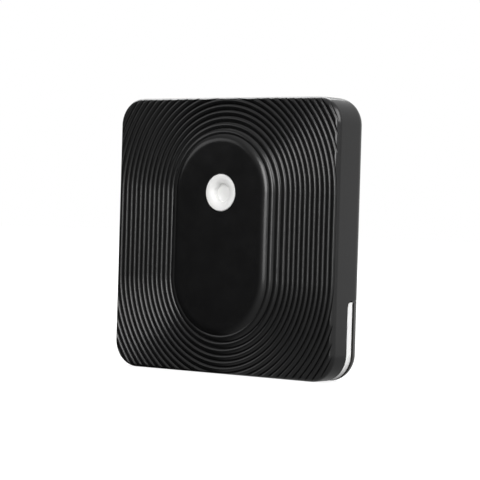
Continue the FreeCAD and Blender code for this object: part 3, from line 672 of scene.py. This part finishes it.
inside = SIDE_WALL + COVER_GAP
kept = rounded_block("kept", Vector((-half_width + inside, LIP_FRONT, inside)),
                     Vector((half_width - inside, rear_face + SPARE, case_high.z - inside)),
                     CASE_CORNER - inside)
kept_lip = rounded_block("kept_lip", Vector((-half_width - SPARE, LIP_FRONT, -SPARE)),
                         Vector((half_width + SPARE, rear_face + LONG_SPARE, LIP_TOP)))
combine(kept, kept_lip, "UNION")
tongue_high = Vector((half_width - TONGUE_INSET, rear_face + LONGER_SPARE, NOTCH_TOP - TONGUE_GAP))
tongue = rounded_block("tongue", Vector((-half_width + TONGUE_INSET, LIP_FRONT + HAIR, SPARE)), tongue_high)
combine(kept, tongue, "UNION")
combine(cover, kept, "INTERSECT")

wall = inside - HAIR
hollow = rounded_block("hollow", Vector((-half_width + wall, -SPARE, wall)),
                       Vector((half_width - wall, rear_face - COVER_WALL, case_high.z * 2)),
                       CASE_CORNER - wall)
combine(cover, hollow, "DIFFERENCE")

rim_top = NOTCH_TOP + CASE_CORNER
rim = rounded_block("rim", Vector((-half_width + RIM_INSET, band_rear + COVER_EDGE, RIM_INSET)),
                    Vector((half_width - RIM_INSET, in_wall, rim_top)), CASE_CORNER - RIM_INSET)
rim_inside = RIM_INSET + RIM_WALL
rim_room = rounded_block("rim_room", Vector((-half_width + rim_inside, -SPARE, rim_inside)),
                         Vector((half_width - rim_inside, rear_face + SPARE, rim_top * 2)),
                         CASE_CORNER - rim_inside)
combine(rim, rim_room, "DIFFERENCE")
rim_end = rounded_block("rim_end", Vector((-half_width - SPARE, -LONGER_SPARE, NOTCH_TOP - RIM_GAP)),
                        Vector((half_width + SPARE, rear_face + LONGER_SPARE, rim_top + SPARE)))
combine(rim, rim_end, "DIFFERENCE")
air_way = rounded_block("air_way", Vector((-AIR_WAY_HALF, -SPARE, -SPARE)),
                        Vector((AIR_WAY_HALF, LIP_FRONT + COVER_WALL / 2, CASE_CORNER)))
combine(rim, air_way, "DIFFERENCE")
combine(cover, rim, "UNION")

for centre in four_places(POST_PLACE):
    post = round_prism("post", centre, POST_RADIUS, cover_low.y, in_wall, SOCKET_STEPS)
    combine(cover, post, "UNION")
soften_edges(cover, COVER_EDGE)
cover_plastic = moulded_plastic("cover_plastic", dark=(0.026, 0.025, 0.024), light=(0.033, 0.0315, 0.0305),
                                roughness=(0.16, 0.22), grain=0.14 * MM, depth=0.006 * MM)
cover_shader = cover_plastic.node_tree.nodes["Principled BSDF"]
cover_shader.inputs["Specular IOR Level"].default_value = COVER_GLINT
finish_piece(cover, "cover", "cover_black", cover_plastic, "rear_cover")


# Coin cell
# A nickel-plated steel can with rounded edges, crimped over a nylon ring that holds the negative
# cap. A plus sign is sunk in the middle of its rear.
can_low, can_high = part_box("battery_can")
CAN_RADIUS = 10.0 * MM
CAN_WALL = 0.4 * MM
CAN_FLOOR = 0.3 * MM
CAN_EDGE = 0.35 * MM
CAN_EDGE_STEPS = 6
CAN_STEPS = 128
CAN_STREAK = (1, 1, 18)
PLUS_HALF = 2.2 * MM
PLUS_STROKE_HALF = 0.35 * MM
PLUS_CORNER = 0.15 * MM
PLUS_DEPTH = 0.04 * MM

edge_middle = CAN_RADIUS - CAN_EDGE
can_section = [Vector((0, can_high.y - CAN_FLOOR)),
               Vector((CAN_RADIUS - CAN_WALL, can_high.y - CAN_FLOOR)),
               Vector((CAN_RADIUS - CAN_WALL, can_low.y)),
               Vector((edge_middle, can_low.y))]
front_edge = quarter(Vector((edge_middle, can_low.y + CAN_EDGE)), CAN_EDGE, -math.pi / 2, CAN_EDGE_STEPS)
can_section += front_edge[1:]
can_section += quarter(Vector((edge_middle, can_high.y - CAN_EDGE)), CAN_EDGE, 0, CAN_EDGE_STEPS)
can_section += [Vector((CAN_RADIUS * INNER_SHARE, can_high.y)), Vector((0, can_high.y))]
can = turned_piece("cell_can", can_section, case_middle, CAN_STEPS)
for across, up in ((PLUS_HALF, PLUS_STROKE_HALF), (PLUS_STROKE_HALF, PLUS_HALF)):
    stroke = rounded_block("stroke", case_middle + Vector((-across, can_high.y - PLUS_DEPTH, -up)),
                           case_middle + Vector((across, can_high.y + SPARE, up)), PLUS_CORNER)
    combine(can, stroke, "DIFFERENCE")
can_steel = metal("can_steel", colour=(0.74, 0.73, 0.7), roughness=(0.16, 0.3), streak=CAN_STREAK)
finish_piece(can, "coin_cell", "cell_steel", can_steel, "battery_can")
dress_nodes(can_steel, "battery_cap")
nylon = moulded_plastic("nylon", dark=(0.05, 0.05, 0.055), light=(0.07, 0.07, 0.075),
                        roughness=(0.4, 0.5), grain=0.2 * MM, depth=0.004 * MM)
dress_nodes(nylon, "battery_gasket")


# Floor, backdrop and lamps
# A floor that looks plain white in a white surround, which glossy rays find darker towards the front left.
# On the floor that darkening, and a darkening near the object, are painted shade that only reflections see,
# and to the camera the floor glows less near the object, a painted shade round it.
# The key lamp stands to the right in front, and others beside, to the left of and behind the object.
FLOOR_SIDE = 3.0
FLOOR_COLOUR = (0.3, 0.3, 0.3, 1)
FLOOR_ROUGHNESS = 0.9
WHITE = (1, 1, 1, 1)
REFLECTED_DIM = 0.02
# The floor's glow to the camera: lower near the object as painted shade, higher far off
NEAR_SHADED_GLOW = 0.8
FAR_GLOW = 0.95
FADE_START = 40 * MM
FADE_END = 220 * MM
# How dim reflections find the floor near the object and far off: a painted shade near it
NEAR_SHADE = 0.65
FAR_SHADE = 1.4
SHADE_START = 10 * MM
SHADE_END = 90 * MM
SURROUND_SHADE = 0.16
SKY_SIDE = Vector((0.83, 0.32, 0.46))
BEHIND_RIGHT = Vector((0.93, 0.36, 0))
LAMP_DISTANCE = 0.8


def seen_level(tree, direction, lit_side, dark_end, lit_end, plain, bright):
    """The node of a level of light that is 1 to the camera and plain to what it lights. Reflections
    find it dim at the dark end and bright at the lit end, along the way to the lit side."""
    path = tree.nodes.new("ShaderNodeLightPath")
    unit = tree.nodes.new("ShaderNodeVectorMath")
    unit.operation = "NORMALIZE"
    tree.links.new(direction, unit.inputs[0])
    along = tree.nodes.new("ShaderNodeVectorMath")
    along.operation = "DOT_PRODUCT"
    along.inputs[1].default_value = lit_side
    tree.links.new(unit.outputs["Vector"], along.inputs[0])
    fade = map_range(tree, along.outputs["Value"], dark_end, lit_end, REFLECTED_DIM, bright)
    mirrored = map_range(tree, path.outputs["Is Glossy Ray"], 0, 1, plain, bright)
    tree.links.new(fade.outputs["Result"], mirrored.inputs["To Max"])
    seen = tree.nodes.new("ShaderNodeMath")
    seen.operation = "MAXIMUM"
    tree.links.new(path.outputs["Is Camera Ray"], seen.inputs[0])
    tree.links.new(path.outputs["Is Transmission Ray"], seen.inputs[1])
    level = map_range(tree, seen.outputs["Value"], 0, 1, plain, 1)
    tree.links.new(mirrored.outputs["Result"], level.inputs["To Min"])
    return level, path


bpy.ops.object.select_all(action="DESELECT")
bpy.ops.mesh.primitive_plane_add(size=FLOOR_SIDE)
floor = start_object("floor")
floor_paint, floor_tree, floor_shader, floor_place = new_material("floor_paint")
floor_shader.inputs["Base Color"].default_value = FLOOR_COLOUR
floor_shader.inputs["Roughness"].default_value = FLOOR_ROUGHNESS
floor_shader.inputs["Emission Color"].default_value = WHITE
# Painted shade: reflections find the floor darker towards the front left, by place on the floor.
floor_level, floor_path = seen_level(floor_tree, floor_place, BEHIND_RIGHT, dark_end=-0.85, lit_end=0.1,
                                     plain=0, bright=0.5)
floor_light = floor_level.outputs["Result"]
reach = floor_tree.nodes.new("ShaderNodeVectorMath")
reach.operation = "LENGTH"
floor_tree.links.new(floor_place, reach.inputs[0])
from_middle = reach.outputs["Value"]
# Painted shade: to the camera the floor glows less near the object, greyer round it, so that its shadow
# shows.
glow_shaded_near = map_range(floor_tree, from_middle, FADE_START, FADE_END, NEAR_SHADED_GLOW, FAR_GLOW)
floor_tree.links.new(glow_shaded_near.outputs["Result"], floor_level.inputs["To Max"])
floor_tree.links.new(floor_light, floor_shader.inputs["Emission Strength"])
# Painted shade: reflections find the floor darker near the object than far off.
shade = map_range(floor_tree, from_middle, SHADE_START, SHADE_END, NEAR_SHADE, FAR_SHADE)
shaded = floor_tree.nodes.new("ShaderNodeMath")
shaded.operation = "MULTIPLY"
floor_tree.links.new(floor_light, shaded.inputs[0])
floor_tree.links.new(shade.outputs["Result"], shaded.inputs[1])
glow = floor_tree.nodes.new("ShaderNodeEmission")
floor_tree.links.new(shaded.outputs["Value"], glow.inputs["Strength"])
choice = floor_tree.nodes.new("ShaderNodeMixShader")
floor_tree.links.new(floor_path.outputs["Is Glossy Ray"], choice.inputs["Fac"])
floor_tree.links.new(floor_shader.outputs["BSDF"], choice.inputs[1])
floor_tree.links.new(glow.outputs["Emission"], choice.inputs[2])
floor_tree.links.new(choice.outputs["Shader"], floor_tree.nodes["Material Output"].inputs["Surface"])
floor.data.materials.append(floor_paint)

world = bpy.data.worlds.new("surround")
bpy.context.scene.world = world
world.use_nodes = True
world_tree = world.node_tree
background = world_tree.nodes["Background"]
background.inputs["Color"].default_value = WHITE
world_place = world_tree.nodes.new("ShaderNodeTexCoord")
world_level = seen_level(world_tree, world_place.outputs["Generated"], SKY_SIDE, dark_end=-0.7,
                         lit_end=0.15, plain=SURROUND_SHADE, bright=0.7)[0]
world_tree.links.new(world_level.outputs["Result"], background.inputs["Strength"])


def add_lamp(name, azimuth, elevation, across, tall, radiance):
    """A soft rectangular lamp that faces the middle of the object, with the radiance of its face."""
    data = bpy.data.lights.new(name, "AREA")
    data.shape = "RECTANGLE"
    data.size = across
    data.size_y = tall
    data.energy = radiance * math.pi * across * tall
    lamp = bpy.data.objects.new(name, data)
    level = math.cos(math.radians(elevation))
    towards = Vector((math.sin(math.radians(azimuth)) * level,
                      -math.cos(math.radians(azimuth)) * level,
                      math.sin(math.radians(elevation))))
    lamp.location = OVAL_CENTRE + towards * LAMP_DISTANCE
    lamp.rotation_euler = towards.to_track_quat("Z", "Y").to_euler()
    bpy.context.scene.collection.objects.link(lamp)


add_lamp("key_lamp", azimuth=22, elevation=18, across=0.3, tall=0.52, radiance=7.6)
add_lamp("side_lamp", azimuth=80, elevation=35, across=0.66, tall=0.6, radiance=4.7)
add_lamp("left_lamp", azimuth=-53, elevation=20, across=0.6, tall=0.28, radiance=1.2)
add_lamp("rear_lamp", azimuth=-134, elevation=48, across=0.6, tall=0.6, radiance=4)

bpy.context.scene.view_settings.view_transform = "Standard"
